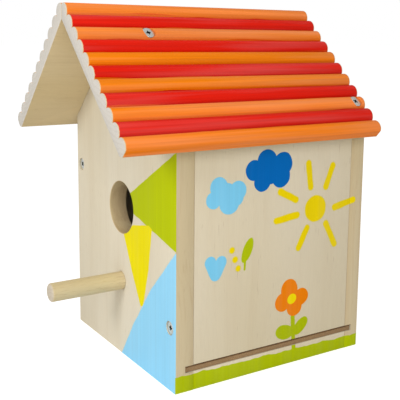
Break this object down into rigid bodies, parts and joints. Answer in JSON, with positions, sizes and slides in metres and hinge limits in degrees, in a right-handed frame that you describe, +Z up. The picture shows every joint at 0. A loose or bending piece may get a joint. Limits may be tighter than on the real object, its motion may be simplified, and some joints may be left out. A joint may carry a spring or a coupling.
{
  "type": "birdhouse",
  "caption": "Gabled wooden birdhouse with a beaded overhanging roof, round entry hole, dowel perch and a thin floor board that slides out of a side slot.",
  "frame": {"origin": "on the ground, at the middle of the rectangle that the whole object covers, perch and roof included", "axes": "+X to the right across the front, the side with the floor slot; +Y from the front to the back; +Z up"},
  "size_m": [0.1442, 0.166, 0.1945],
  "materials": {
    "bare_pine": "bare sanded pale pine, hand painted in places with green, yellow and blue craft paint",
    "painted_roof": "beads brushed in turn with orange and red craft paint, ends and underside bare",
    "hardboard": "raw brown board",
    "dowel": "bare turned dowel",
    "screw_steel": "bright zinc plate"
  },
  "bodies": {
    "house": {"front_panel": "bare_pine", "back_panel": "bare_pine", "left_wall": "bare_pine", "right_wall": "bare_pine", "right_base_rail": "bare_pine", "left_roof_board": "painted_roof", "right_roof_board": "painted_roof", "perch": "dowel", "front_screw_left_wall": "screw_steel", "front_screw_right_wall": "screw_steel", "back_screw_left_wall": "screw_steel", "back_screw_right_wall": "screw_steel", "right_roof_screw_front": "screw_steel", "right_roof_screw_back": "screw_steel", "left_roof_screw_front": "screw_steel", "left_roof_screw_back": "screw_steel"},
    "floor": {"sliding_floor": "hardboard"}
  },
  "joints": [
    {"name": "floor_slide", "type": "slide", "parent": "house", "child": "floor", "axis": [1, 0, 0], "range_m": [0, 0.12]}
  ]
}
